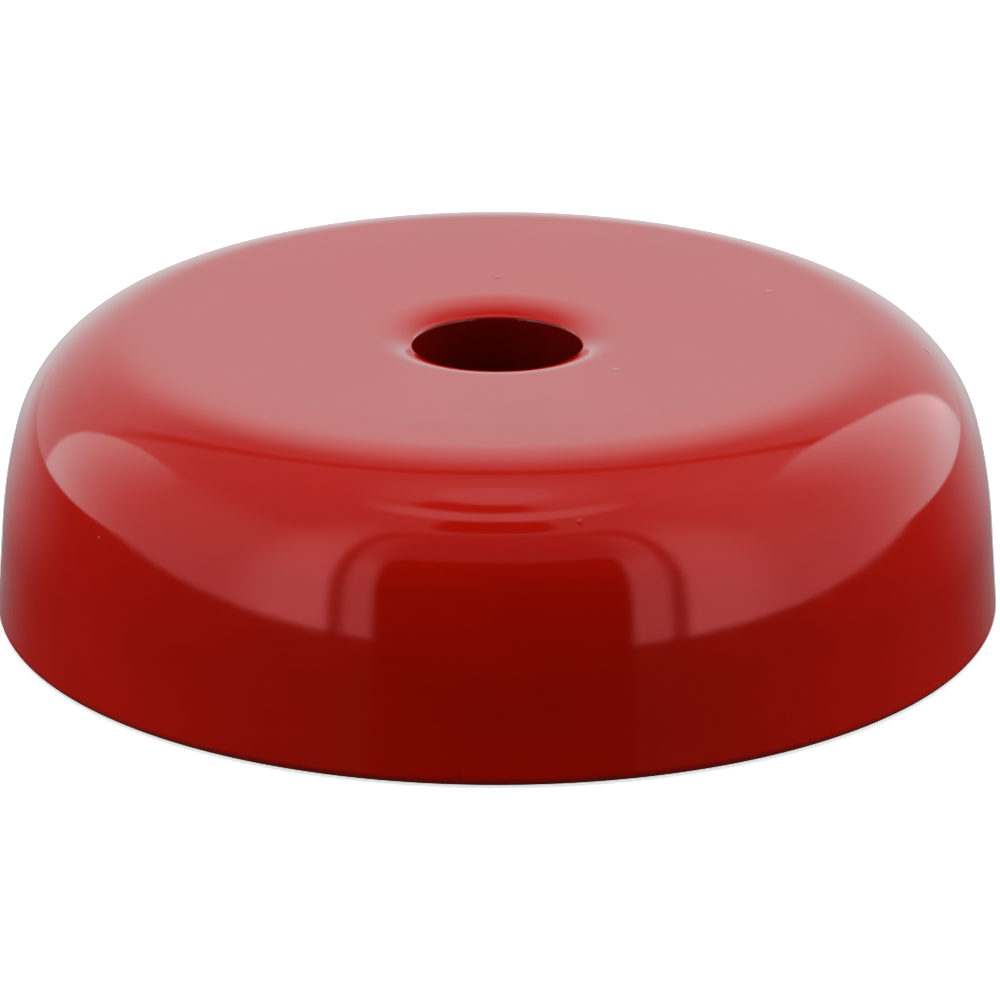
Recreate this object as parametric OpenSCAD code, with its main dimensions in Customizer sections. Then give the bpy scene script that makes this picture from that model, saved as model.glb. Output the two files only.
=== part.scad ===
// Shallow pot magnet with a stepped hole through its centre, for a countersunk or round head screw.
// A cast magnet core stands inside a painted steel pot, a brass spacer ring keeps the two poles apart,
// and hardened cement holds the core and the ring in the pot. All sizes are in millimetres.
// The pole face lies on the plane z = 0 and the painted back faces up.

/* [Pot] */
// Outside diameter of the pot, at its widest point beside the pole face
pot_d = 28.6; // [24:0.1:60]
// Overall height, from the pole face to the painted back
pot_h = 8.4; // [7:0.1:14]
// Angle by which the straight part of the side leans in towards the back, in degrees
side_draft = 4; // [0:0.5:8]
// Radius of the gentle curve between the straight part of the side and the shoulder
flank_r = 15; // [8:0.5:18]
// Angle by which that curve leans in where the shoulder takes over, in degrees
flank_angle = 14; // [10:1:18]
// Radius of the shoulder, which runs on to the flat of the back
shoulder_r = 4.0; // [1:0.1:4.6]
// Radius of the outer edge beside the pole face
foot_r = 0.3; // [0.1:0.05:0.6]
// Width of the steel pole ring around the pole face
rim_w = 2.9; // [2.2:0.1:4]
// Thickness of the closed back of the pot
back_t = 2.4; // [1.6:0.1:3.2]
// Width of the flat land around the slightly hollow back, which seats on what the pot is screwed to
land_w = 1.2; // [0.8:0.1:2]
// Angle by which the hollow back slopes down from that land towards the hole, in degrees
hollow_angle = 2.4; // [0.4:0.2:4]
// Radius of the corner inside the pot, where its wall meets its back
cavity_corner_r = 0.8; // [0.3:0.1:1.2]

/* [Fixing hole] */
// Diameter of the hole through the back, for the shank of a screw
hole_d = 4.8; // [3:0.1:6]
// Radius of the small rounded edge at the mouth of that hole
hole_edge_r = 0.15; // [0.1:0.05:0.3]
// Radius of the curve by which the back dips towards that edge
dip_r = 3; // [1.5:0.1:5]
// Angle by which the back dips where the edge takes over, in degrees
dip_angle = 26; // [12:1:30]

/* [Magnet core] */
// Outside diameter of the magnet core
core_d = 16.8; // [14:0.1:20.2]
// Diameter of the bore through the core, which takes the head of the screw
core_bore_d = 9.2; // [8:0.1:10.5]
// Chamfer on the cast edges of the core
core_chamfer = 0.3; // [0.1:0.05:0.5]
// Thickness of the cement between the core and the back of the pot
bond_t = 0.15; // [0.1:0.05:0.3]

/* [Spacer ring] */
// Height of the brass spacer ring
spacer_h = 2.0; // [1:0.1:3]
// Depth of the spacer ring below the pole face
spacer_recess = 0.4; // [0.2:0.1:0.8]
// Chamfer on the edges of the spacer ring
spacer_chamfer = 0.2; // [0.1:0.05:0.3]
// Radial clearance between the spacer ring and the core, and between the ring and the pot
spacer_gap = 0.03; // [0.02:0.01:0.05]

/* [Hidden] */
$fn = 96;

pot_r = pot_d / 2;
hole_r = hole_d / 2;
core_r = core_d / 2;
core_bore_r = core_bore_d / 2;

// The cavity inside the pot, and how tall the core is in it
cavity_r = pot_r - rim_w;
cavity_h = pot_h - back_t;
core_h = cavity_h - bond_t;

// Outline of the side, from the foot up to the flat of the back: how high each stretch is, and where it is centred
arc_steps = 16;
flank_h = flank_r * (sin(flank_angle) - sin(side_draft));
shoulder_h = shoulder_r * (1 - sin(flank_angle));
foot_h = foot_r * (1 + sin(side_draft));
straight_h = pot_h - foot_h - flank_h - shoulder_h;
foot_centre = [pot_r - foot_r, foot_r];
foot_top = foot_centre + foot_r * direction(side_draft);
straight_top = foot_top + straight_h * [-tan(side_draft), 1];
flank_centre = straight_top - flank_r * direction(side_draft);
shoulder_centre = flank_centre + (flank_r - shoulder_r) * direction(flank_angle);

// Outline of the back, from its land over the hollow and the dip to the edge of the hole
land_r = shoulder_centre.x - land_w;
edge_centre_r = hole_r + hole_edge_r;
dip_centre_r = edge_centre_r + (dip_r - hole_edge_r) * sin(dip_angle);
dip_start = [
    dip_centre_r - dip_r * sin(hollow_angle),
    pot_h - (land_r - dip_centre_r + dip_r * sin(hollow_angle)) * tan(hollow_angle)
];
dip_centre = dip_start - dip_r * direction(90 + hollow_angle);
edge_centre = dip_centre + (dip_r - hole_edge_r) * direction(90 + dip_angle);
cut_over_h = 1;

// Top of the spacer ring, on which the cement lies
spacer_top_z = spacer_recess + spacer_h;

// Unit vector of the half section, at an angle from straight outwards up towards the back
function direction(angle) = [cos(angle), sin(angle)];

// Points of an arc of the half section, from one such angle to another, without the last point
function arc_points(centre, radius, from_angle, to_angle) = [
    for (step = [0:arc_steps - 1])
        centre + radius * direction(from_angle + (to_angle - from_angle) * step / arc_steps)
];

// Half section of a ring between two radii and two heights, with the same chamfer on its four edges
module chamfered_ring_section(inner_r, outer_r, low_z, high_z, chamfer) {
    polygon([
        [inner_r + chamfer, low_z],
        [outer_r - chamfer, low_z],
        [outer_r, low_z + chamfer],
        [outer_r, high_z - chamfer],
        [outer_r - chamfer, high_z],
        [inner_r + chamfer, high_z],
        [inner_r, high_z - chamfer],
        [inner_r, low_z + chamfer]
    ]);
}

// A disc of the half section, which rounds one of its corners
module corner_disc(centre_r, centre_z, corner_r) {
    translate([centre_r, centre_z]) circle(r = corner_r);
}

// Half section of the solid pot before it is hollowed
module pot_outside_section() {
    polygon(concat(
        [[0, 0]],
        arc_points(foot_centre, foot_r, -90, side_draft),
        [foot_top],
        arc_points(flank_centre, flank_r, side_draft, flank_angle),
        arc_points(shoulder_centre, shoulder_r, flank_angle, 90),
        [[shoulder_centre.x, pot_h], [0, pot_h]]
    ));
}

// Half section of the cavity, with the rounded corner at its closed end
module cavity_section() {
    polygon([
        [0, 0],
        [cavity_r, 0],
        [cavity_r, cavity_h - cavity_corner_r],
        [cavity_r - cavity_corner_r, cavity_h],
        [0, cavity_h]
    ]);
    corner_disc(cavity_r - cavity_corner_r, cavity_h - cavity_corner_r, cavity_corner_r);
}

// Half section of what the hole and the hollow take from the back
module hole_section() {
    polygon(concat(
        [[0, 0], [hole_r, 0]],
        arc_points(edge_centre, hole_edge_r, 180, 90 + dip_angle),
        arc_points(dip_centre, dip_r, 90 + dip_angle, 90 + hollow_angle),
        [dip_start, [land_r, pot_h], [land_r, pot_h + cut_over_h], [0, pot_h + cut_over_h]]
    ));
}

// Steel pot, open at the pole face and pierced by the fixing hole
module pot_shell() {
    color("firebrick")
        rotate_extrude()
            difference() {
                pot_outside_section();
                cavity_section();
                hole_section();
            }
}

// Cast ring magnet, ground flush with the pole ring of the pot
module magnet_core() {
    color("dimgray")
        rotate_extrude()
            chamfered_ring_section(core_bore_r, core_r, 0, core_h, core_chamfer);
}

// Brass ring that holds the core central and keeps the poles apart
module spacer_ring() {
    color("goldenrod")
        rotate_extrude()
            chamfered_ring_section(
                core_r + spacer_gap, cavity_r - spacer_gap, spacer_recess, spacer_top_z, spacer_chamfer
            );
}

// Hardened cement that fills the pot above the spacer ring and behind the core
module core_cement() {
    color("darkslategray")
        rotate_extrude()
            difference() {
                cavity_section();
                square([core_bore_r, cavity_h]);
                square([cavity_r, spacer_top_z]);
                square([core_r, core_h]);
            }
}

pot_shell();
magnet_core();
spacer_ring();
core_cement();
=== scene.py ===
"""Looks of a shallow pot magnet: a red enamelled steel pot with a cast magnet ring inside it.

Every piece is turned about the Z axis. The pole face lies on the floor and the painted back faces up.
Lengths are in metres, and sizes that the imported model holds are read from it.
"""

from __future__ import annotations

import logging
import math
from dataclasses import dataclass
from enum import Enum

import bpy
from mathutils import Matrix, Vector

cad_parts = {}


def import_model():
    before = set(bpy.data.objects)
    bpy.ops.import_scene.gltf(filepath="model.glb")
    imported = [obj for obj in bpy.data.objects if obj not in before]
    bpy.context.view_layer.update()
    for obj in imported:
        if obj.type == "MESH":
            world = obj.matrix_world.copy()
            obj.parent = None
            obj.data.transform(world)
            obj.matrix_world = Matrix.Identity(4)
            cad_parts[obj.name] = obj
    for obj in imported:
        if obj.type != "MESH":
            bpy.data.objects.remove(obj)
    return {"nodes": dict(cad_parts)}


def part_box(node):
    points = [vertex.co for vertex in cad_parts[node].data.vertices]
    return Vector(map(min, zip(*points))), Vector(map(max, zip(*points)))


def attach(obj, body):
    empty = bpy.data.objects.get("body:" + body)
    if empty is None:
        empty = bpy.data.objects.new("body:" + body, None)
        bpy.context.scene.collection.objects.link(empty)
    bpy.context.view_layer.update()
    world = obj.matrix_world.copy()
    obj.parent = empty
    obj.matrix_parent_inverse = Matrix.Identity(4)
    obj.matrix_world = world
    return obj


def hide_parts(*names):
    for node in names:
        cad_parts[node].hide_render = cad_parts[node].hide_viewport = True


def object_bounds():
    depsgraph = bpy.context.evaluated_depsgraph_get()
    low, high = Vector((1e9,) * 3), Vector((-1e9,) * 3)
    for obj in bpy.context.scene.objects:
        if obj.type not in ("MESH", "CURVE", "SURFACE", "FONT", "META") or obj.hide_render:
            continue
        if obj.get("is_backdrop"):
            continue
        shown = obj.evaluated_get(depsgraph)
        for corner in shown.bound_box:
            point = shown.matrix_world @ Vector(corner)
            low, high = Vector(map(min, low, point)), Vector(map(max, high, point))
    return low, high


MM = 0.001
ROOT_BODY = "root"
SMOOTH_ANGLE = math.radians(25)
FACING_DOWN = -0.9
UP = (0.0, 0.0, 1.0)
WHITE = (1.0, 1.0, 1.0, 1.0)

Point = tuple[float, float]
Colour = tuple[float, float, float, float]
Piece = bpy.types.Object
Socket = bpy.types.NodeSocket
Tree = bpy.types.NodeTree
Value = float | tuple[float, ...] | Socket
Inputs = dict[str | int, Value]

COMBINED_CURVE = 3
PATCH_SHAPE = ("azimuth", "elevation", "half_width", "half_height", "softness", "squareness", "hollow")
FILM_CURVE = ((0.1, 0.085), (0.25, 0.25), (0.42, 0.43), (0.7, 0.55), (0.88, 0.66))

log = logging.getLogger("pot_magnet")


class Slot(Enum):
    """Material slots of the record."""

    ENAMEL = "red_enamel"
    ALLOY = "cast_magnet_alloy"
    BRASS = "turned_brass"
    CEMENT = "dark_cement"


# ---- Shader nodes ----


class Graph:
    """Adds nodes to one material, node group or world, and links them."""

    def __init__(self, tree: Tree) -> None:
        """Empties the tree.

        Args:
            tree: The node tree to build in.
        """
        self.tree = tree
        tree.nodes.clear()

    def node(self, kind: str, inputs: Inputs | None = None, **settings: object) -> bpy.types.Node:
        """Adds one node.

        Args:
            kind: The node's type, such as "ShaderNodeMath".
            inputs: Values or sockets for its inputs, by name or number.
            **settings: The node's own properties.

        Returns:
            The new node.
        """
        made = self.tree.nodes.new(kind)
        for name, setting in settings.items():
            setattr(made, name, setting)
        for name, value in (inputs or {}).items():
            if isinstance(value, Socket):
                self.tree.links.new(value, made.inputs[name])
            else:
                made.inputs[name].default_value = value
        return made

    def math(self, operation: str, *operands: Value) -> Socket:
        """Adds a Math node.

        Args:
            operation: The node's operation.
            *operands: Its one to three inputs.

        Returns:
            The result's socket.
        """
        return self.node("ShaderNodeMath", dict(enumerate(operands)), operation=operation).outputs[0]

    def smooth_step(
        self, value: Value, low: Value, high: Value, to_low: Value = 0.0, to_high: Value = 1.0
    ) -> Socket:
        """Adds a smooth step from one value to another.

        Args:
            value: What is compared.
            low: Where the step starts.
            high: Where the step ends.
            to_low: The result before the step.
            to_high: The result after the step.

        Returns:
            The result's socket.
        """
        inputs = {"Value": value, "From Min": low, "From Max": high, "To Min": to_low, "To Max": to_high}
        return self.node("ShaderNodeMapRange", inputs, interpolation_type="SMOOTHSTEP").outputs["Result"]

    def mix_number(self, share: Value, first: Value, second: Value) -> Socket:
        """Mixes two numbers, as mix_colour does with colours."""
        return self.node("ShaderNodeMix", {"Factor": share, "A": first, "B": second}).outputs["Result"]

    def mix_colour(self, share: Value, first: Value, second: Value) -> Socket:
        """Mixes two colours.

        Args:
            share: How much of the second one is taken.
            first: The first one.
            second: The second one.

        Returns:
            The mix's socket.
        """
        made = self.node("ShaderNodeMix", {"Factor": share}, data_type="RGBA")
        for name, value in (("A", first), ("B", second)):
            socket = next(s for s in made.inputs if s.name == name and s.type == "RGBA")
            if isinstance(value, Socket):
                self.tree.links.new(value, socket)
            else:
                socket.default_value = value
        return next(s for s in made.outputs if s.type == "RGBA")

    def noise(self, place: Socket, scale: Value, detail: float = 2.0, roughness: float = 0.5) -> Socket:
        """Adds a noise pattern.

        Args:
            place: The coordinates that it reads.
            scale: How many features there are in a metre.
            detail: How many finer layers it has.
            roughness: How strong the finer layers are.

        Returns:
            The pattern's value socket, about 0.5 on average.
        """
        inputs = {"Vector": place, "Scale": scale, "Detail": detail, "Roughness": roughness}
        return self.node("ShaderNodeTexNoise", inputs).outputs["Fac"]

    def bump(
        self, height: Socket, depth: float, strength: float = 1.0, below: Socket | None = None
    ) -> Socket:
        """Tilts the surface as if a pattern raised it.

        Args:
            height: The pattern.
            depth: How far it rises where the pattern is 1.
            strength: How much of the tilt is taken.
            below: The normal of what it lies on, where that is tilted already.

        Returns:
            The normal's socket.
        """
        inputs: Inputs = {"Strength": strength, "Distance": depth, "Height": height}
        if below is not None:
            inputs["Normal"] = below
        return self.node("ShaderNodeBump", inputs).outputs["Normal"]


def new_group(name: str, inputs: dict[str, float], outputs: tuple[str, ...]) -> tuple[Tree, Graph]:
    """Starts a shader node group.

    Args:
        name: The group's name.
        inputs: Its number inputs, with their defaults. It also gets a Place input for coordinates.
        outputs: Its number outputs.

    Returns:
        The group, and a graph that builds in it.
    """
    group = bpy.data.node_groups.new(name, "ShaderNodeTree")
    group.interface.new_socket("Place", in_out="INPUT", socket_type="NodeSocketVector")
    for label, default in inputs.items():
        socket = group.interface.new_socket(label, in_out="INPUT", socket_type="NodeSocketFloat")
        socket.default_value = default
    for label in outputs:
        group.interface.new_socket(label, in_out="OUTPUT", socket_type="NodeSocketFloat")
    return group, Graph(group)


class Groups:
    """The shader node groups that more than one finish uses, each built once."""

    line_direction = math.radians(24)
    line_stretch = (0.015, 1.0, 0.2)
    broad_lines = 1400.0
    broad_share = 0.45
    lumps = 700.0
    lump_share = 0.6
    hole_cells = 900.0
    hole_depth = 0.8

    def __init__(self) -> None:
        """Builds every group."""
        self.grind = self._grinding_lines()
        self.grain = self._cast_grain()

    def _grinding_lines(self) -> Tree:
        """Straight lines that a grinding wheel leaves, all in one direction, as a value from 0 to 1."""
        group, graph = new_group("Grinding lines", {"Fineness": 9000.0}, ("Lines",))
        entry = graph.node("NodeGroupInput").outputs
        turned = {"Vector": entry["Place"], "Rotation": (0.0, 0.0, self.line_direction)}
        stretched = graph.node("ShaderNodeMapping", turned | {"Scale": self.line_stretch}).outputs[0]
        fine = graph.noise(stretched, entry["Fineness"], detail=3.0, roughness=0.65)
        broad = graph.noise(stretched, self.broad_lines, detail=1.0)
        rest = graph.math("MULTIPLY", fine, 1.0 - self.broad_share)
        lines = graph.math("MULTIPLY_ADD", broad, self.broad_share, rest)
        graph.node("NodeGroupOutput", {"Lines": lines})
        return group

    def _cast_grain(self) -> Tree:
        """Grain and blow holes of a casting: a height, and a mask that is 1 in the holes."""
        group, graph = new_group("Cast grain", {"Grain": 3200.0, "Hole size": 0.16}, ("Height", "Holes"))
        entry = graph.node("NodeGroupInput").outputs
        place, size = entry["Place"], entry["Hole size"]
        grain = graph.noise(place, entry["Grain"], detail=5.0, roughness=0.7)
        lumps = graph.noise(place, self.lumps, detail=3.0)
        cells = graph.node("ShaderNodeTexVoronoi", {"Vector": place, "Scale": self.hole_cells}).outputs
        holes = graph.smooth_step(cells["Distance"], graph.math("MULTIPLY", size, 0.5), size, 1.0, 0.0)
        rest = graph.math("MULTIPLY", grain, 1.0 - self.lump_share)
        body = graph.math("MULTIPLY_ADD", lumps, self.lump_share, rest)
        height = graph.math("SUBTRACT", body, graph.math("MULTIPLY", holes, self.hole_depth))
        graph.node("NodeGroupOutput", {"Height": height, "Holes": holes})
        return group


class Finish:
    """A procedural material. Its patterns lie on the object's own coordinates."""

    name = "finish"

    def material(self, groups: Groups) -> bpy.types.Material:
        """Makes the material.

        Args:
            groups: The shared node groups.

        Returns:
            The material, with its nodes built.
        """
        made = bpy.data.materials.new(self.name)
        made.use_nodes = True
        graph = Graph(made.node_tree)
        place = graph.node("ShaderNodeTexCoord").outputs["Object"]
        shader = graph.node("ShaderNodeBsdfPrincipled", self.looks(graph, place, groups))
        graph.node("ShaderNodeOutputMaterial", {"Surface": shader.outputs["BSDF"]})
        return made

    def looks(self, graph: Graph, place: Socket, groups: Groups) -> Inputs:
        """Builds the finish's own nodes.

        Args:
            graph: The material's graph.
            place: The object's coordinates.
            groups: The shared node groups.

        Returns:
            The inputs of its Principled BSDF node.
        """
        raise NotImplementedError

    @staticmethod
    def grouped(graph: Graph, group: Tree, place: Socket, **inputs: float) -> bpy.types.NodeOutputs:
        """Places a shared group in a material.

        Args:
            graph: The material's graph.
            group: The shared group.
            place: The object's coordinates.
            **inputs: Its number inputs, with underscores for spaces.

        Returns:
            The group's outputs.
        """
        made = graph.node("ShaderNodeGroup", node_tree=group)
        graph.tree.links.new(place, made.inputs["Place"])
        for label, value in inputs.items():
            made.inputs[label.replace("_", " ")].default_value = value
        return made.outputs


@dataclass(frozen=True)
class RedEnamel(Finish):
    """Thick stove enamel with a wet gloss, a little orange peel and a few specks caught in it.

    Attributes:
        pigment: The paint's colour.
        thin_pigment: Its colour where the coat is a little thinner.
        flake: How metallic it is, which tints what its gloss mirrors.
        speck: Its colour over a speck.
        ripples: Long ripples of flowed paint in a metre.
        peel: Short ripples in a metre.
        flow_depth: Depth of both together.
        speck_cells: Cells in a metre, of which speck_share have a speck.
        speck_size: Radius of a speck, as a share of its cell.
        speck_height: How far a speck stands proud.
        clouds: Clouds of thinner paint in a metre.
        haze: Duller spots in a metre.
        roughness: The gloss's lowest and highest roughness.
        refraction: The paint's index of refraction.
    """

    name: str = "Red stove enamel"
    pigment: Colour = (0.57, 0.0082, 0.0010, 1.0)
    thin_pigment: Colour = (0.53, 0.0072, 0.0009, 1.0)
    flake: float = 0.12
    speck: Colour = (0.26, 0.006, 0.003, 1.0)
    ripples: float = 260.0
    peel: float = 1500.0
    flow_depth: float = 0.004 * MM
    speck_cells: float = 900.0
    speck_share: float = 0.05
    speck_size: float = 0.15
    speck_height: float = 0.02 * MM
    clouds: float = 180.0
    haze: float = 1100.0
    roughness: Point = (0.055, 0.085)
    refraction: float = 1.5

    def looks(self, graph: Graph, place: Socket, groups: Groups) -> Inputs:
        """Builds the pigment and its rippled gloss. See Finish.looks."""
        specks = self._specks(graph, place)
        long_ripples = graph.math("MULTIPLY", graph.noise(place, self.ripples, detail=1.0), 0.75)
        flow = graph.math("MULTIPLY_ADD", graph.noise(place, self.peel), 0.25, long_ripples)
        cloud = graph.noise(place, self.clouds, detail=3.0, roughness=0.6)
        pigment = graph.mix_colour(graph.smooth_step(cloud, 0.35, 0.7), self.pigment, self.thin_pigment)
        rippled = graph.bump(flow, self.flow_depth)
        haze = graph.noise(place, self.haze, detail=3.0, roughness=0.6)
        return {
            "Base Color": graph.mix_colour(specks, pigment, self.speck),
            "Metallic": self.flake,
            "Roughness": graph.smooth_step(haze, 0.3, 0.7, *self.roughness),
            "IOR": self.refraction,
            "Normal": graph.bump(specks, self.speck_height, below=rippled),
        }

    def _specks(self, graph: Graph, place: Socket) -> Socket:
        """Scatters specks, as a height from 0 to 1 that is 0 between them.

        Args:
            graph: The material's graph.
            place: The object's coordinates.

        Returns:
            The height's socket.
        """
        cells = graph.node("ShaderNodeTexVoronoi", {"Vector": place, "Scale": self.speck_cells})
        dome = graph.smooth_step(cells.outputs["Distance"], 0.0, self.speck_size, 1.0, 0.0)
        chance = graph.node("ShaderNodeSeparateColor", {"Color": cells.outputs["Color"]}).outputs["Red"]
        return graph.math("MULTIPLY", dome, graph.math("LESS_THAN", chance, self.speck_share))


@dataclass(frozen=True)
class GroundMetal(Finish):
    """Metal ground flat by a wheel, with its lines in one direction.

    Attributes:
        name: The material's name.
        bright: Its colour on the ridges.
        dull: Its colour in the lines.
        pores: How large its open pores are, 0 for none.
        pore_dark: The colour of the pores.
        depth: Depth of the lines.
    """

    name: str = "Ground steel"
    bright: Colour = (0.62, 0.60, 0.58, 1.0)
    dull: Colour = (0.36, 0.35, 0.34, 1.0)
    pores: float = 0.0
    pore_dark: Colour = (0.03, 0.028, 0.026, 1.0)
    depth: float = 0.006 * MM

    def looks(self, graph: Graph, place: Socket, groups: Groups) -> Inputs:
        """Builds the lines as colour, roughness and height. See Finish.looks."""
        lines = self.grouped(graph, groups.grind, place)["Lines"]
        holes = self.grouped(graph, groups.grain, place, Hole_size=self.pores)["Holes"]
        contrast = graph.smooth_step(lines, 0.35, 0.65)
        colour = graph.mix_colour(contrast, self.dull, self.bright)
        return {
            "Base Color": graph.mix_colour(holes, colour, self.pore_dark),
            "Metallic": 1.0,
            "Roughness": graph.math("MULTIPLY_ADD", contrast, -0.16, 0.42),
            "Normal": graph.bump(graph.math("SUBTRACT", lines, holes), self.depth, strength=0.6),
        }


@dataclass(frozen=True)
class CastAlloy(Finish):
    """Rough cast magnet alloy, as it leaves its sand mould."""

    name = "Cast magnet alloy"
    skin: Colour = (0.16, 0.15, 0.145, 1.0)
    scale: Colour = (0.07, 0.062, 0.056, 1.0)
    depth: float = 0.05 * MM

    def looks(self, graph: Graph, place: Socket, groups: Groups) -> Inputs:
        """Builds the grain and the blow holes. See Finish.looks."""
        height = self.grouped(graph, groups.grain, place)["Height"]
        tone = graph.smooth_step(height, 0.35, 0.65)
        return {
            "Base Color": graph.mix_colour(tone, self.scale, self.skin),
            "Metallic": 0.75,
            "Roughness": graph.math("MULTIPLY_ADD", tone, -0.15, 0.68),
            "Normal": graph.bump(height, self.depth, strength=0.9),
        }


@dataclass(frozen=True)
class TurnedBrass(Finish):
    """Brass with fine grooves from the turning tool and a little tarnish."""

    name = "Turned brass"
    clean: Colour = (0.78, 0.53, 0.21, 1.0)
    tarnished: Colour = (0.42, 0.26, 0.10, 1.0)
    stains: float = 420.0
    groove_pitch: float = 0.12 * MM
    groove_wander: float = 0.08 * MM
    groove_depth: float = 0.01 * MM

    def looks(self, graph: Graph, place: Socket, groups: Groups) -> Inputs:
        """Builds the grooves round the Z axis and the tarnish. See Finish.looks."""
        flat = graph.node("ShaderNodeVectorMath", {0: place, 1: (1.0, 1.0, 0.0)}, operation="MULTIPLY")
        radius = graph.node("ShaderNodeVectorMath", {0: flat.outputs[0]}, operation="LENGTH")
        wander = graph.math("MULTIPLY", graph.noise(place, 300.0), self.groove_wander)
        turns = graph.math("DIVIDE", graph.math("ADD", radius.outputs["Value"], wander), self.groove_pitch)
        stain = graph.smooth_step(graph.noise(place, self.stains, detail=4.0, roughness=0.6), 0.45, 0.7)
        return {
            "Base Color": graph.mix_colour(stain, self.clean, self.tarnished),
            "Metallic": 1.0,
            "Roughness": graph.math("MULTIPLY_ADD", stain, 0.2, 0.26),
            "Normal": graph.bump(graph.math("PINGPONG", turns, 1.0), self.groove_depth, strength=0.5),
        }


@dataclass(frozen=True)
class HardCement(Finish):
    """Hardened dark filling compound with fine bubbles."""

    name = "Hardened cement"
    dark: Colour = (0.022, 0.02, 0.019, 1.0)
    dusty: Colour = (0.07, 0.064, 0.058, 1.0)
    dust: float = 800.0
    depth: float = 0.03 * MM

    def looks(self, graph: Graph, place: Socket, groups: Groups) -> Inputs:
        """Builds the bubbles and the dusty patches. See Finish.looks."""
        bubbles = self.grouped(graph, groups.grain, place, Grain=5200.0, Hole_size=0.2)["Height"]
        dust = graph.smooth_step(graph.noise(place, self.dust, detail=4.0), 0.4, 0.7)
        return {
            "Base Color": graph.mix_colour(dust, self.dark, self.dusty),
            "Roughness": graph.math("MULTIPLY_ADD", dust, 0.3, 0.5),
            "Normal": graph.bump(bubbles, self.depth, strength=0.7),
        }


@dataclass(frozen=True)
class PaleFloor(Finish):
    """Pale paper with faint mottles, which glows about as much as the backdrop."""

    name = "Pale floor"
    grey: Colour = (0.12, 0.12, 0.12, 1.0)
    darker_grey: Colour = (0.1176, 0.1176, 0.1176, 1.0)
    mottles: float = 90.0
    glow: float = 0.93

    def looks(self, graph: Graph, place: Socket, groups: Groups) -> Inputs:
        """Builds the mottles and the glow. See Finish.looks."""
        mottle = graph.smooth_step(graph.noise(place, self.mottles, detail=4.0), 0.3, 0.7)
        return {
            "Base Color": graph.mix_colour(mottle, self.grey, self.darker_grey),
            "Roughness": 0.9,
            "Specular IOR Level": 0.0,
            "Emission Color": WHITE,
            "Emission Strength": self.glow,
        }


# The hole's enamel is darkened as painted shade, for the shade that falls inside the hole. Both of its
# colours are shaded copies of the red enamel.
HOLE_SHADE_ENAMEL = RedEnamel(
    name="Stove enamel darkened with painted shade in the hole",
    pigment=(0.20, 0.0035, 0.0008, 1.0),
    thin_pigment=(0.13, 0.0030, 0.0010, 1.0),
)
GROUND_ALLOY = GroundMetal(
    name="Ground magnet alloy",
    bright=(0.42, 0.41, 0.40, 1.0),
    dull=(0.22, 0.21, 0.205, 1.0),
    pores=0.2,
)


# ---- Turned pieces ----


def along(angle: float) -> Point:
    """Gives the unit vector of the half section at an angle, in degrees, from straight outwards up."""
    return math.cos(math.radians(angle)), math.sin(math.radians(angle))


def reach(start: Point, angle: float, length: float) -> Point:
    """Gives the point of the half section at an angle and a length from another one."""
    outwards = along(angle)
    return start[0] + length * outwards[0], start[1] + length * outwards[1]


def arc(centre: Point, radius: float, start: float, end: float, steps: int) -> list[Point]:
    """Gives the points of an arc of the half section.

    Args:
        centre: The arc's centre, as distance from the axis and height.
        radius: The arc's radius.
        start: The first angle, in degrees from straight outwards up.
        end: The last angle.
        steps: How many stretches it is divided into.

    Returns:
        The points, with both ends.
    """
    angles = [start + (end - start) * step / steps for step in range(steps + 1)]
    return [reach(centre, angle, radius) for angle in angles]


def straight(start: Point, end: Point, steps: int) -> list[Point]:
    """Gives the points of a straight stretch of the half section.

    Args:
        start: Where it starts.
        end: Where it ends.
        steps: How many stretches it is divided into.

    Returns:
        The points between its ends, without the ends themselves.
    """
    shares = [step / steps for step in range(1, steps)]
    return [(start[0] + (end[0] - start[0]) * s, start[1] + (end[1] - start[1]) * s) for s in shares]


def joined(*curves: tuple[list[Point], int]) -> list[Point]:
    """Joins curves by straight stretches into a closed outline.

    Args:
        *curves: The points of each curve, and how many steps the stretch after it is divided into.

    Returns:
        The points of the outline.
    """
    points: list[Point] = []
    for (curve, steps), (following, _) in zip(curves, curves[1:] + curves[:1]):
        points += [*curve, *straight(curve[-1], following[0], steps)]
    return points


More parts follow.
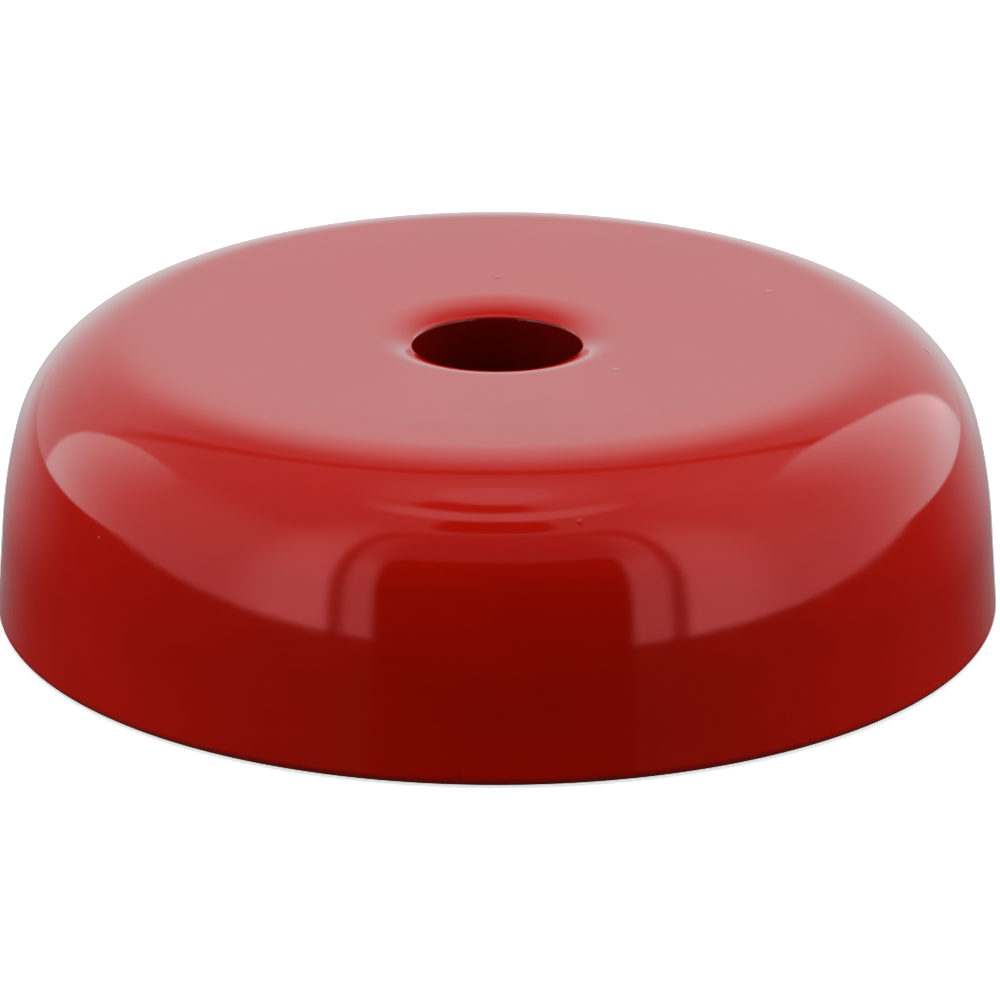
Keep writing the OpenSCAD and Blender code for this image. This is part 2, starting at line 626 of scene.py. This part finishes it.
@dataclass
class TurnedPiece:
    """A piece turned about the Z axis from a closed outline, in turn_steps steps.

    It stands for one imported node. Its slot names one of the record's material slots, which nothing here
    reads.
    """

    name: str = ""
    node: str = ""
    slot: Slot = Slot.ENAMEL
    turn_steps: int = 256
    finishes: tuple[Finish, ...] = ()

    def outline(self) -> list[Point]:
        """Gives the closed outline of the half section, as distances from the axis and heights."""
        raise NotImplementedError

    def shape(self, piece: Piece) -> None:
        """Finishes the turned mesh with modifiers. Most pieces need nothing."""

    def assign(self, piece: Piece) -> None:
        """Says which face has which finish. Most pieces have only one."""

    def build(self, groups: Groups) -> None:
        """Models the piece, gives it its finishes and ties it to the frame.

        Args:
            groups: The shared node groups.
        """
        piece = self.turn()
        self.shape(piece)
        for finish in self.finishes:
            piece.data.materials.append(finish.material(groups))
        self.assign(piece)
        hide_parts(self.node)
        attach(piece, ROOT_BODY)
        log.info("%s: %d faces", piece.name, len(piece.data.polygons))

    def turn(self) -> Piece:
        """Draws the outline from one corner and spins it round the Z axis.

        Returns:
            The turned piece, with its normals outwards and its curved faces smooth.
        """
        outline = self.outline()
        first = (outline[0][0], 0.0, outline[0][1])
        bpy.ops.object.select_all(action="DESELECT")
        bpy.ops.mesh.primitive_plane_add(size=1 * MM, location=(0.0, 0.0, 0.0))
        piece = bpy.context.object
        piece.name = piece.data.name = self.name
        bpy.ops.object.mode_set(mode="EDIT")
        bpy.ops.mesh.select_all(action="SELECT")
        bpy.ops.mesh.merge(type="CENTER")
        bpy.ops.transform.translate(value=first)
        for before, after in zip(outline, outline[1:] + outline[:1]):
            step = (after[0] - before[0], 0.0, after[1] - before[1])
            bpy.ops.mesh.extrude_region_move(TRANSFORM_OT_translate={"value": step})
        bpy.ops.mesh.select_all(action="SELECT")
        bpy.ops.mesh.remove_doubles(threshold=0.0001 * MM)
        bpy.ops.mesh.spin(steps=self.turn_steps, angle=math.tau, center=(0.0, 0.0, 0.0), axis=UP)
        bpy.ops.mesh.select_all(action="SELECT")
        bpy.ops.mesh.remove_doubles(threshold=0.001 * MM)
        bpy.ops.mesh.normals_make_consistent(inside=False)
        bpy.ops.object.mode_set(mode="OBJECT")
        bpy.ops.object.shade_smooth_by_angle(angle=SMOOTH_ANGLE)
        return piece

    @staticmethod
    def sink(piece: Piece, group: str, vertices: list[int], size: Point, layers: int) -> None:
        """Sinks some vertices by a cloudy pattern, always inwards of the true outline.

        Args:
            piece: The turned piece.
            group: A name for the vertices.
            vertices: Their numbers.
            size: Length and depth of the pattern.
            layers: How many finer layers it has.
        """
        piece.vertex_groups.new(name=group).add(vertices, 1.0, "REPLACE")
        pattern = bpy.data.textures.new(group, "CLOUDS")
        pattern.noise_scale, depth = size
        pattern.noise_depth = layers
        sinking = piece.modifiers.new(group, "DISPLACE")
        sinking.texture = pattern
        sinking.texture_coords = "LOCAL"
        sinking.direction = "NORMAL"
        sinking.mid_level = 1.0
        sinking.strength = depth
        sinking.vertex_group = group
        bpy.ops.object.modifier_apply(modifier=sinking.name)


@dataclass
class Pot(TurnedPiece):
    """The steel pot: its outside and its hole are enamelled, its cavity and its ground pole ring are bare.

    Attributes:
        outer_radius: Radius of the widest place, beside the pole face.
        height: Height of the painted back.
        cavity_radius: Radius of the cavity.
        cavity_height: Height of the cavity's closed end.
    """

    name: str = "enamelled_pot"
    node: str = "pot_shell"
    finishes: tuple[Finish, ...] = (RedEnamel(), GroundMetal(), HOLE_SHADE_ENAMEL)
    outer_radius: float = 0.0
    height: float = 0.0
    cavity_radius: float = 0.0
    cavity_height: float = 0.0
    side_draft: float = 4.0
    flank_radius: float = 15.0 * MM
    flank_angle: float = 14.0
    shoulder_radius: float = 4.0 * MM
    foot_radius: float = 0.3 * MM
    cavity_corner_radius: float = 0.8 * MM
    hole_radius: float = 2.4 * MM
    hole_edge_radius: float = 0.15 * MM
    dip_radius: float = 3.0 * MM
    dip_angle: float = 26.0
    land_width: float = 1.2 * MM
    hollow_angle: float = 2.4
    hollow_blend_radius: float = 14.0 * MM
    sharp_edge_radius: float = 0.08 * MM
    ripple_depth: float = 0.006 * MM
    ripple_length: float = 4.0 * MM

    @classmethod
    def from_frame(cls) -> Pot:
        """Reads the pot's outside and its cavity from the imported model."""
        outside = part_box("pot_shell")[1]
        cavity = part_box("core_cement")[1]
        return cls(outer_radius=outside.x, height=outside.z, cavity_radius=cavity.x, cavity_height=cavity.z)

    def outline(self) -> list[Point]:
        """Gives the pot's outline, from the foot up over the back, through the hole and out of the cavity."""
        foot_centre = (self.outer_radius - self.foot_radius, self.foot_radius)
        foot = arc(foot_centre, self.foot_radius, -90.0, self.side_draft, 10)
        flank_height = self.flank_radius * (along(self.flank_angle)[1] - along(self.side_draft)[1])
        shoulder_height = self.shoulder_radius * (1.0 - along(self.flank_angle)[1])
        side_height = self.height - shoulder_height - flank_height - foot[-1][1]
        lean = side_height * math.tan(math.radians(self.side_draft))
        side_top = (foot[-1][0] - lean, foot[-1][1] + side_height)
        flank_centre = reach(side_top, self.side_draft, -self.flank_radius)
        flank = arc(flank_centre, self.flank_radius, self.side_draft, self.flank_angle, 24)
        shoulder_centre = reach(flank[-1], self.flank_angle, -self.shoulder_radius)
        shoulder = arc(shoulder_centre, self.shoulder_radius, self.flank_angle, 90.0, 56)
        back = self.back_outline(shoulder_centre[0] - self.land_width)
        edge = self.sharp_edge_radius
        hole_end = arc((self.hole_radius + edge, self.cavity_height + edge), edge, 180.0, 270.0, 3)
        corner_radius = self.cavity_corner_radius
        corner_centre = (self.cavity_radius - corner_radius, self.cavity_height - corner_radius)
        corner = arc(corner_centre, corner_radius, 90.0, 0.0, 6)
        rim = arc((self.cavity_radius + edge, edge), edge, 180.0, 270.0, 3)
        side = [*flank, *shoulder[1:]]
        return joined((foot, 14), (side, 6), (back, 8), (hole_end, 8), (corner, 4), (rim, 8))

    def back_outline(self, land_radius: float) -> list[Point]:
        """Gives the outline of the back, from its land over the hollow and the dip to the edge of the hole.

        Args:
            land_radius: Inner radius of the flat land.

        Returns:
            The points, the last of them at the top of the hole's wall.
        """
        slope = math.radians(self.hollow_angle)
        edge_centre_radius = self.hole_radius + self.hole_edge_radius
        inner_radius = self.dip_radius - self.hole_edge_radius
        dip_centre_radius = edge_centre_radius + inner_radius * math.sin(math.radians(self.dip_angle))
        start_radius = dip_centre_radius - self.dip_radius * math.sin(slope)
        start = (start_radius, self.height - (land_radius - start_radius) * math.tan(slope))
        dip_centre = reach(start, 90.0 + self.hollow_angle, -self.dip_radius)
        dip = arc(dip_centre, self.dip_radius, 90.0 + self.hollow_angle, 90.0 + self.dip_angle, 24)
        edge_centre = reach(dip_centre, 90.0 + self.dip_angle, inner_radius)
        edge = arc(edge_centre, self.hole_edge_radius, 90.0 + self.dip_angle, 180.0, 12)
        blend_reach = self.hollow_blend_radius * math.tan(slope / 2)
        blend_centre = (land_radius + blend_reach, self.height - self.hollow_blend_radius)
        blend = arc(blend_centre, self.hollow_blend_radius, 90.0, 90.0 + self.hollow_angle, 10)
        return [*blend, *straight(blend[-1], dip[0], 14), *dip, *edge[1:]]

    def shape(self, piece: Piece) -> None:
        """Lets the paint flow into long, shallow ripples, always inwards of the true outline.

        Args:
            piece: The turned pot.
        """
        edge = self.sharp_edge_radius
        painted = []
        for vertex in piece.data.vertices:
            distance = math.hypot(vertex.co.x, vertex.co.y)
            if vertex.co.z > self.foot_radius and distance > self.hole_radius + edge:
                if distance > self.cavity_radius + edge or vertex.co.z > self.cavity_height + edge:
                    painted.append(vertex.index)
        self.sink(piece, "painted_outside", painted, (self.ripple_length, self.ripple_depth), layers=1)

    def assign(self, piece: Piece) -> None:
        """Enamels the pot, with painted shade in the darker enamel of the hole, but leaves its pole ring and
        its cavity bare.
        """
        bare, hole_shade = 1, 2
        edge = self.sharp_edge_radius
        paint_end = self.cavity_height + edge / 2
        hole_shade_reach = self.hole_radius + self.hole_edge_radius / 5
        for face in piece.data.polygons:
            distance = math.hypot(face.center.x, face.center.y)
            on_pole_ring = face.normal.z < FACING_DOWN and face.center.z < edge
            if on_pole_ring or (face.center.z < paint_end and distance < self.cavity_radius + edge):
                face.material_index = bare
            # Faces in the hole take the darker enamel: painted shade inside the hole.
            elif distance < hole_shade_reach:
                face.material_index = hole_shade


@dataclass
class MagnetCore(TurnedPiece):
    """The cast magnet ring: rough all over, but ground bright on the pole face."""

    name: str = "magnet_ring"
    node: str = "magnet_core"
    slot: Slot = Slot.ALLOY
    finishes: tuple[Finish, ...] = (CastAlloy(), GROUND_ALLOY)
    turn_steps: int = 192
    outer_radius: float = 0.0
    height: float = 0.0
    bore_radius: float = 4.6 * MM
    chamfer: float = 0.3 * MM
    ground_depth: float = 0.02 * MM
    roughness_depth: float = 0.05 * MM
    roughness_length: float = 0.55 * MM

    @classmethod
    def from_frame(cls) -> MagnetCore:
        """Reads the ring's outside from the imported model."""
        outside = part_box("magnet_core")[1]
        return cls(outer_radius=outside.x, height=outside.z)

    def outline(self) -> list[Point]:
        """Gives the ring's outline, with its edges broken by a rounded chamfer."""
        edge = self.chamfer
        inner, outer = self.bore_radius + edge, self.outer_radius - edge
        low, high = edge, self.height - edge
        centres = ((outer, low), (outer, high), (inner, high), (inner, low))
        corners = [arc(place, edge, 90.0 * turn - 90.0, 90.0 * turn, 5) for turn, place in enumerate(centres)]
        return joined(*zip(corners, (26, 16, 26, 20)))

    def shape(self, piece: Piece) -> None:
        """Roughens the cast skin, always inwards, and leaves the ground face flat.

        Args:
            piece: The turned ring.
        """
        cast = [vertex.index for vertex in piece.data.vertices if vertex.co.z > self.ground_depth]
        self.sink(piece, "cast_skin", cast, (self.roughness_length, self.roughness_depth), layers=2)

    def assign(self, piece: Piece) -> None:
        """Leaves the ring its cast skin, but for its ground face."""
        ground = 1
        for face in piece.data.polygons:
            if face.normal.z < FACING_DOWN and face.center.z < self.ground_depth:
                face.material_index = ground


@dataclass
class SpacerRing(TurnedPiece):
    """The turned brass ring between the two poles, with a running clearance to the magnet ring."""

    name: str = "brass_spacer"
    node: str = "spacer_ring"
    slot: Slot = Slot.BRASS
    finishes: tuple[Finish, ...] = (TurnedBrass(),)
    turn_steps: int = 192
    inner_radius: float = 0.0
    outer_radius: float = 0.0
    bottom: float = 0.0
    top: float = 0.0
    clearance: float = 0.03 * MM
    chamfer: float = 0.2 * MM
    groove_depth: float = 0.03 * MM
    groove_count: int = 9
    groove_steps: int = 8

    @classmethod
    def from_frame(cls) -> SpacerRing:
        """Reads the ring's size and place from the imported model."""
        low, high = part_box("spacer_ring")
        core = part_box("magnet_core")[1]
        return cls(inner_radius=core.x + cls.clearance, outer_radius=high.x, bottom=low.z, top=high.z)

    def outline(self) -> list[Point]:
        """Gives the ring's outline, with shallow tool grooves in its lower face."""
        edge = self.chamfer
        low_in = (self.inner_radius + edge, self.bottom)
        low_out = (self.outer_radius - edge, self.bottom)
        face = straight(low_in, low_out, self.groove_count * self.groove_steps)
        grooved = [
            (x, z + self.groove_depth * (0.5 - 0.5 * math.cos(math.tau * index / self.groove_steps)))
            for index, (x, z) in enumerate(face, start=1)
        ]
        return [
            low_in,
            *grooved,
            low_out,
            (self.outer_radius, self.bottom + edge),
            (self.outer_radius, self.top - edge),
            (self.outer_radius - edge, self.top),
            (self.inner_radius + edge, self.top),
            (self.inner_radius, self.top - edge),
            (self.inner_radius, self.bottom + edge),
        ]


@dataclass
class CementFill(TurnedPiece):
    """The hardened compound above the spacer ring and behind the magnet ring."""

    name: str = "cement_fill"
    node: str = "core_cement"
    slot: Slot = Slot.CEMENT
    finishes: tuple[Finish, ...] = (HardCement(),)
    turn_steps: int = 128
    outer_radius: float = 0.0
    bottom: float = 0.0
    top: float = 0.0
    core_radius: float = 0.0
    core_height: float = 0.0
    bore_radius: float = 4.6 * MM
    corner_radius: float = 0.8 * MM
    meniscus: float = 0.06 * MM

    @classmethod
    def from_frame(cls) -> CementFill:
        """Reads the fill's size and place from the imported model."""
        low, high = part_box("core_cement")
        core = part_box("magnet_core")[1]
        return cls(outer_radius=high.x, bottom=low.z, top=high.z, core_radius=core.x, core_height=core.z)

    def outline(self) -> list[Point]:
        """Gives the fill's outline, with a hollow meniscus where its film ends in the bore."""
        corner_centre = (self.outer_radius - self.corner_radius, self.top - self.corner_radius)
        corner = arc(corner_centre, self.corner_radius, 0.0, 90.0, 10)
        film_top = (self.bore_radius, self.top)
        film_bottom = (self.bore_radius, self.core_height)
        hollow = (self.bore_radius + self.meniscus, (self.top + self.core_height) / 2)
        return [
            (self.outer_radius, self.bottom),
            *corner,
            *straight(corner[-1], film_top, 12),
            film_top,
            hollow,
            film_bottom,
            *straight(film_bottom, (self.core_radius, self.core_height), 6),
            (self.core_radius, self.core_height),
            (self.core_radius, self.bottom),
        ]


# ---- Studio ----


@dataclass(frozen=True)
class TentPatch:
    """A patch of the light tent's wall, as it is seen from the object.

    Attributes:
        name: What it is.
        azimuth: Direction of its middle, in degrees from the front, positive to the right.
        elevation: Height of its middle above the horizon, in degrees.
        half_width: Half its width, in degrees of azimuth.
        half_height: Half its height, in degrees.
        radiance: How bright it is.
        softness: Width of its soft edge, as a share of its half sizes.
        squareness: 2 for an ellipse, and more for a squarer patch.
        hollow: Share of its half sizes that is open in the middle, 0 for none.
        fade: Azimuths where it starts and ends to fade into what lies behind it, if it does.
    """

    name: str
    azimuth: float
    elevation: float
    half_width: float
    half_height: float
    radiance: float
    softness: float = 0.1
    squareness: float = 2.0
    hollow: float = 0.0
    fade: Point | None = None

    def laid_over(self, behind: Value, graph: Graph, group: Tree, towards: dict[str, Socket]) -> Socket:
        """Lays the patch over what lies behind it.

        Args:
            behind: The radiance behind it.
            graph: The world's graph.
            group: The group that makes a patch's mask.
            towards: The group's inputs for the direction.

        Returns:
            The radiance with the patch.
        """
        inputs = towards | {label: getattr(self, label) for label in PATCH_SHAPE}
        mask = graph.node("ShaderNodeGroup", inputs, node_tree=group).outputs["Mask"]
        if self.fade:
            start, end = self.fade
            low, high = sorted(self.fade)
            azimuth = towards["towards_azimuth"]
            faded = graph.smooth_step(azimuth, low, high, float(start < end), float(start > end))
            mask = graph.math("MULTIPLY", mask, faded)
        return graph.mix_number(mask, behind, self.radiance)


@dataclass
class LightTent:
    """A small tent of white cloth with a lamp behind each side wall, open to the front for the camera.

    Attributes:
        cloth: Brightness of its plain walls.
        table: Brightness of the table that it stands on.
        table_edge: Elevation at which the table ends, in degrees.
        table_tilt: How much lower it ends to the right and to the front, in degrees.
        edge_blur: Half the width of its soft edge, in degrees.
        light: Colour of the light.
        walls: What differs from the plain walls, from the back layer to the front one.
        low: What lies before the table, from the back layer to the front one.
    """

    cloth: float = 1.0
    table: float = 0.06
    table_edge: float = -3.5
    table_tilt: Point = (1.5, 1.0)
    edge_blur: float = 0.6
    light: Colour = (0.98, 0.98, 1.02, 1.0)
    walls: tuple[TentPatch, ...] = (
        TentPatch("ceiling", 0, 90, 720, 50, 0.58, softness=0.2),
        TentPatch("ceiling_middle", 0, 90, 720, 14, 1.0, softness=0.6),
        TentPatch("right_ceiling", 100, 48, 35, 22, 0.85, softness=0.6),
        TentPatch("back_lamp", 180, 39, 19, 17, 1.6, softness=0.6),
        TentPatch("back_seam", 180, 25, 50, 44, 0.22, softness=0.04, squareness=2.6, hollow=0.88),
        TentPatch("left_back_wall", -136, 10, 9, 26, 1.0, softness=0.35),
        TentPatch("left_lamp", -93, 0, 40, 40, 2.4, softness=0.02, squareness=4, fade=(-130, -92)),
        TentPatch("right_lamp", 100, 0, 48, 50, 2.5, softness=0.02, squareness=3.2, fade=(142, 88)),
        TentPatch("left_front_glow", -44, 5, 14, 38, 1.7, softness=0.6),
        TentPatch("right_front_glow", 50, 5, 14, 38, 1.5, softness=0.6),
        TentPatch("front_flap", 2.5, 0, 41.5, 54, 0.22, softness=0.04, squareness=8),
        TentPatch("front_rim", 2.5, 0, 37.5, 50, 1.0, softness=0.04, squareness=8),
        TentPatch("shade_over_opening", 1.3, 40, 34, 13, 0.24, softness=0.3, squareness=4),
    )
    low: tuple[TentPatch, ...] = (
        TentPatch("table_glow", 180, -6, 40, 11, 1.05, softness=0.7),
        TentPatch("opening", 1.3, 0, 29.7, 33, 0.012, softness=0.045, squareness=12),
        TentPatch("first_fold", -1, 61.5, 22, 5, 0.05, softness=0.1, squareness=4),
        TentPatch("first_fold_light", 0, 70, 60, 3.2, 1.5, softness=0.3, squareness=4),
        TentPatch("second_fold", -16, 77.5, 42, 3.6, 0.1, softness=0.2, squareness=4),
        TentPatch("second_fold_light", 0, 90, 720, 7.5, 1.4, softness=0.2),
    )

    def build(self) -> None:
        """Makes the world, which the camera itself sees as plain white."""
        world = bpy.data.worlds.new("Light tent")
        bpy.context.scene.world = world
        world.use_nodes = True
        graph = Graph(world.node_tree)
        group = self._patch_group()
        direction = graph.node("ShaderNodeTexCoord").outputs["Generated"]
        axes = graph.node("ShaderNodeSeparateXYZ", {"Vector": direction}).outputs
        degrees = math.degrees(1.0)
        front = graph.math("MULTIPLY", axes["Y"], -1.0)
        azimuth = graph.math("MULTIPLY", graph.math("ARCTAN2", axes["X"], front), degrees)
        elevation = graph.math("MULTIPLY", graph.math("ARCSINE", axes["Z"]), degrees)
        towards = {"towards_azimuth": azimuth, "towards_elevation": elevation}
        radiance: Value = self.cloth
        for patch in self.walls:
            radiance = patch.laid_over(radiance, graph, group, towards)
        right = graph.math("MULTIPLY_ADD", axes["X"], -self.table_tilt[0], self.table_edge)
        edge = graph.math("MULTIPLY_ADD", axes["Y"], self.table_tilt[1], right)
        height = graph.math("SUBTRACT", elevation, edge)
        above = graph.smooth_step(height, -self.edge_blur, self.edge_blur)
        radiance = graph.mix_number(above, self.table, radiance)
        for patch in self.low:
            radiance = patch.laid_over(radiance, graph, group, towards)
        tent = graph.node("ShaderNodeBackground", {"Color": self.light, "Strength": radiance})
        backdrop = graph.node("ShaderNodeBackground", {"Color": WHITE, "Strength": 1.0})
        camera_sees = graph.node("ShaderNodeLightPath").outputs["Is Camera Ray"]
        shaders = {0: camera_sees, 1: tent.outputs[0], 2: backdrop.outputs[0]}
        surface = graph.node("ShaderNodeMixShader", shaders)
        graph.node("ShaderNodeOutputWorld", {"Surface": surface.outputs[0]})

    @staticmethod
    def _patch_group() -> Tree:
        """Makes the group that is 1 on a patch and 0 off it."""
        labels = ("towards_azimuth", "towards_elevation", *PATCH_SHAPE)
        group, graph = new_group("Tent patch", dict.fromkeys(labels, 0.0), ("Mask",))
        entry = graph.node("NodeGroupInput").outputs
        turn = graph.math("SUBTRACT", entry["towards_azimuth"], entry["azimuth"])
        aside = graph.math("WRAP", turn, 180.0, -180.0)
        above = graph.math("SUBTRACT", entry["towards_elevation"], entry["elevation"])
        square, soft, hollow = entry["squareness"], entry["softness"], entry["hollow"]
        powers = [
            graph.math("POWER", graph.math("ABSOLUTE", graph.math("DIVIDE", offset, size)), square)
            for offset, size in ((aside, entry["half_width"]), (above, entry["half_height"]))
        ]
        share = graph.math("POWER", graph.math("ADD", *powers), graph.math("DIVIDE", 1.0, square))
        ends = [[graph.math(side, edge, soft) for side in ("SUBTRACT", "ADD")] for edge in (1.0, hollow)]
        inside = graph.smooth_step(share, *ends[0], to_low=1.0, to_high=0.0)
        outside = graph.smooth_step(share, *ends[1])
        closed = graph.math("LESS_THAN", hollow, 0.001)
        solid = graph.math("MAXIMUM", outside, closed)
        graph.node("NodeGroupOutput", {"Mask": graph.math("MULTIPLY", inside, solid)})
        return group


@dataclass(frozen=True)
class RoofLamp:
    """A broad lamp above one side of the tent, whose own shape the gloss doesn't show.

    Attributes:
        name: What it is.
        azimuth: Its direction, in degrees from the front, positive to the right.
        elevation: Its height above the horizon, in degrees.
        strength: What it adds on a surface that faces it, 1 for as much as white cloth all round.
        distance: Its distance, in pot radii.
        size: Its width, in pot radii.
    """

    name: str
    azimuth: float
    elevation: float = 50.0
    strength: float = 0.24
    distance: float = 14.0
    size: float = 8.0

    def build(self) -> None:
        """Makes the lamp."""
        low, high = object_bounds()
        radius = (high.x - low.x) / 2
        reach = self.distance * radius
        turn, rise = math.radians(self.azimuth), math.radians(self.elevation)
        place = (
            reach * math.sin(turn) * math.cos(rise),
            -reach * math.cos(turn) * math.cos(rise),
            reach * math.sin(rise),
        )
        bpy.ops.object.select_all(action="DESELECT")
        rotation = (math.radians(90.0) - rise, 0.0, turn)
        bpy.ops.object.light_add(type="AREA", location=place, rotation=rotation)
        lamp = bpy.context.object
        lamp.name = lamp.data.name = self.name
        lamp.data.shape = "DISK"
        lamp.data.size = self.size * radius
        lamp.data.energy = self.strength * (math.pi * reach) ** 2
        lamp.visible_glossy = False


@dataclass
class Floor:
    """The pale floor that the magnet stands on. The paint doesn't mirror it."""

    half_size: float = 2.0

    def build(self, groups: Groups) -> None:
        """Makes the floor, marked as not part of the object.

        Args:
            groups: The shared node groups.
        """
        bpy.ops.object.select_all(action="DESELECT")
        bpy.ops.mesh.primitive_plane_add(size=2 * self.half_size, location=(0.0, 0.0, 0.0))
        floor = bpy.context.object
        floor.name = floor.data.name = "floor"
        floor.data.materials.append(PaleFloor().material(groups))
        floor.visible_glossy = False
        floor.visible_diffuse = False
        floor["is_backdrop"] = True


@dataclass
class Viewpoint:
    """The camera, a long lens a little above the shoulder of the pot.

    Attributes:
        elevation: Angle above the horizon, in degrees.
        distance: Distance from the object's middle, in pot radii.
        radius_share: Share of the view's width that the pot's radius takes up at the object's middle.
        aside: How far right of the middle the camera aims, in pot radii.
        below: How far below the middle the camera aims, in pot radii.
        sensor_width: Width of the camera's sensor, in millimetres.
        clip: Nearest and farthest distance that it shows, in pot radii.
    """

    elevation: float = 19.95
    distance: float = 17.0
    radius_share: float = 0.5005
    aside: float = 0.0054
    below: float = 0.0693
    sensor_width: float = 36.0
    clip: Point = (0.1, 2000.0)

    def build(self) -> None:
        """Makes the camera and puts it in the scene."""
        low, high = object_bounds()
        radius = (high.x - low.x) / 2
        middle = (low + high) / 2
        lens = bpy.data.cameras.new("Camera")
        lens.sensor_width = self.sensor_width
        lens.lens = self.sensor_width * self.radius_share * self.distance
        lens.clip_start, lens.clip_end = (share * radius for share in self.clip)
        camera = bpy.data.objects.new("Camera", lens)
        bpy.context.scene.collection.objects.link(camera)
        tilt = math.radians(90.0 - self.elevation)
        camera.rotation_euler = (tilt, 0.0, 0.0)
        bpy.context.view_layer.update()
        turn = camera.matrix_world.to_3x3()
        right, up, back = (turn.col[index] for index in range(3))
        aim = middle + right * self.aside * radius - up * self.below * radius
        camera.location = aim + back * self.distance * radius
        bpy.context.scene.camera = camera


def develop() -> None:
    """Sets a plain colour transform with a film-like curve, which holds back bright reds and keeps white."""
    view = bpy.context.scene.view_settings
    view.view_transform = "Standard"
    view.use_curve_mapping = True
    curve = view.curve_mapping.curves[COMBINED_CURVE]
    for light, shown in FILM_CURVE:
        curve.points.new(light, shown)
    view.curve_mapping.update()


def main() -> None:
    """Builds the studio and every piece, in order."""
    logging.basicConfig(level=logging.INFO, format="%(name)s: %(message)s")
    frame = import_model()
    log.info("packed nodes: %s", ", ".join(sorted(frame["nodes"])))
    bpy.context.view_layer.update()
    Viewpoint().build()
    LightTent().build()
    for lamp in (RoofLamp("left_roof_lamp", -80.0), RoofLamp("right_roof_lamp", 80.0, strength=0.2)):
        lamp.build()
    groups = Groups()
    Floor().build(groups)
    for piece_class in (Pot, MagnetCore, SpacerRing, CementFill):
        piece_class.from_frame().build(groups)
    develop()


if __name__ == "__main__":
    main()
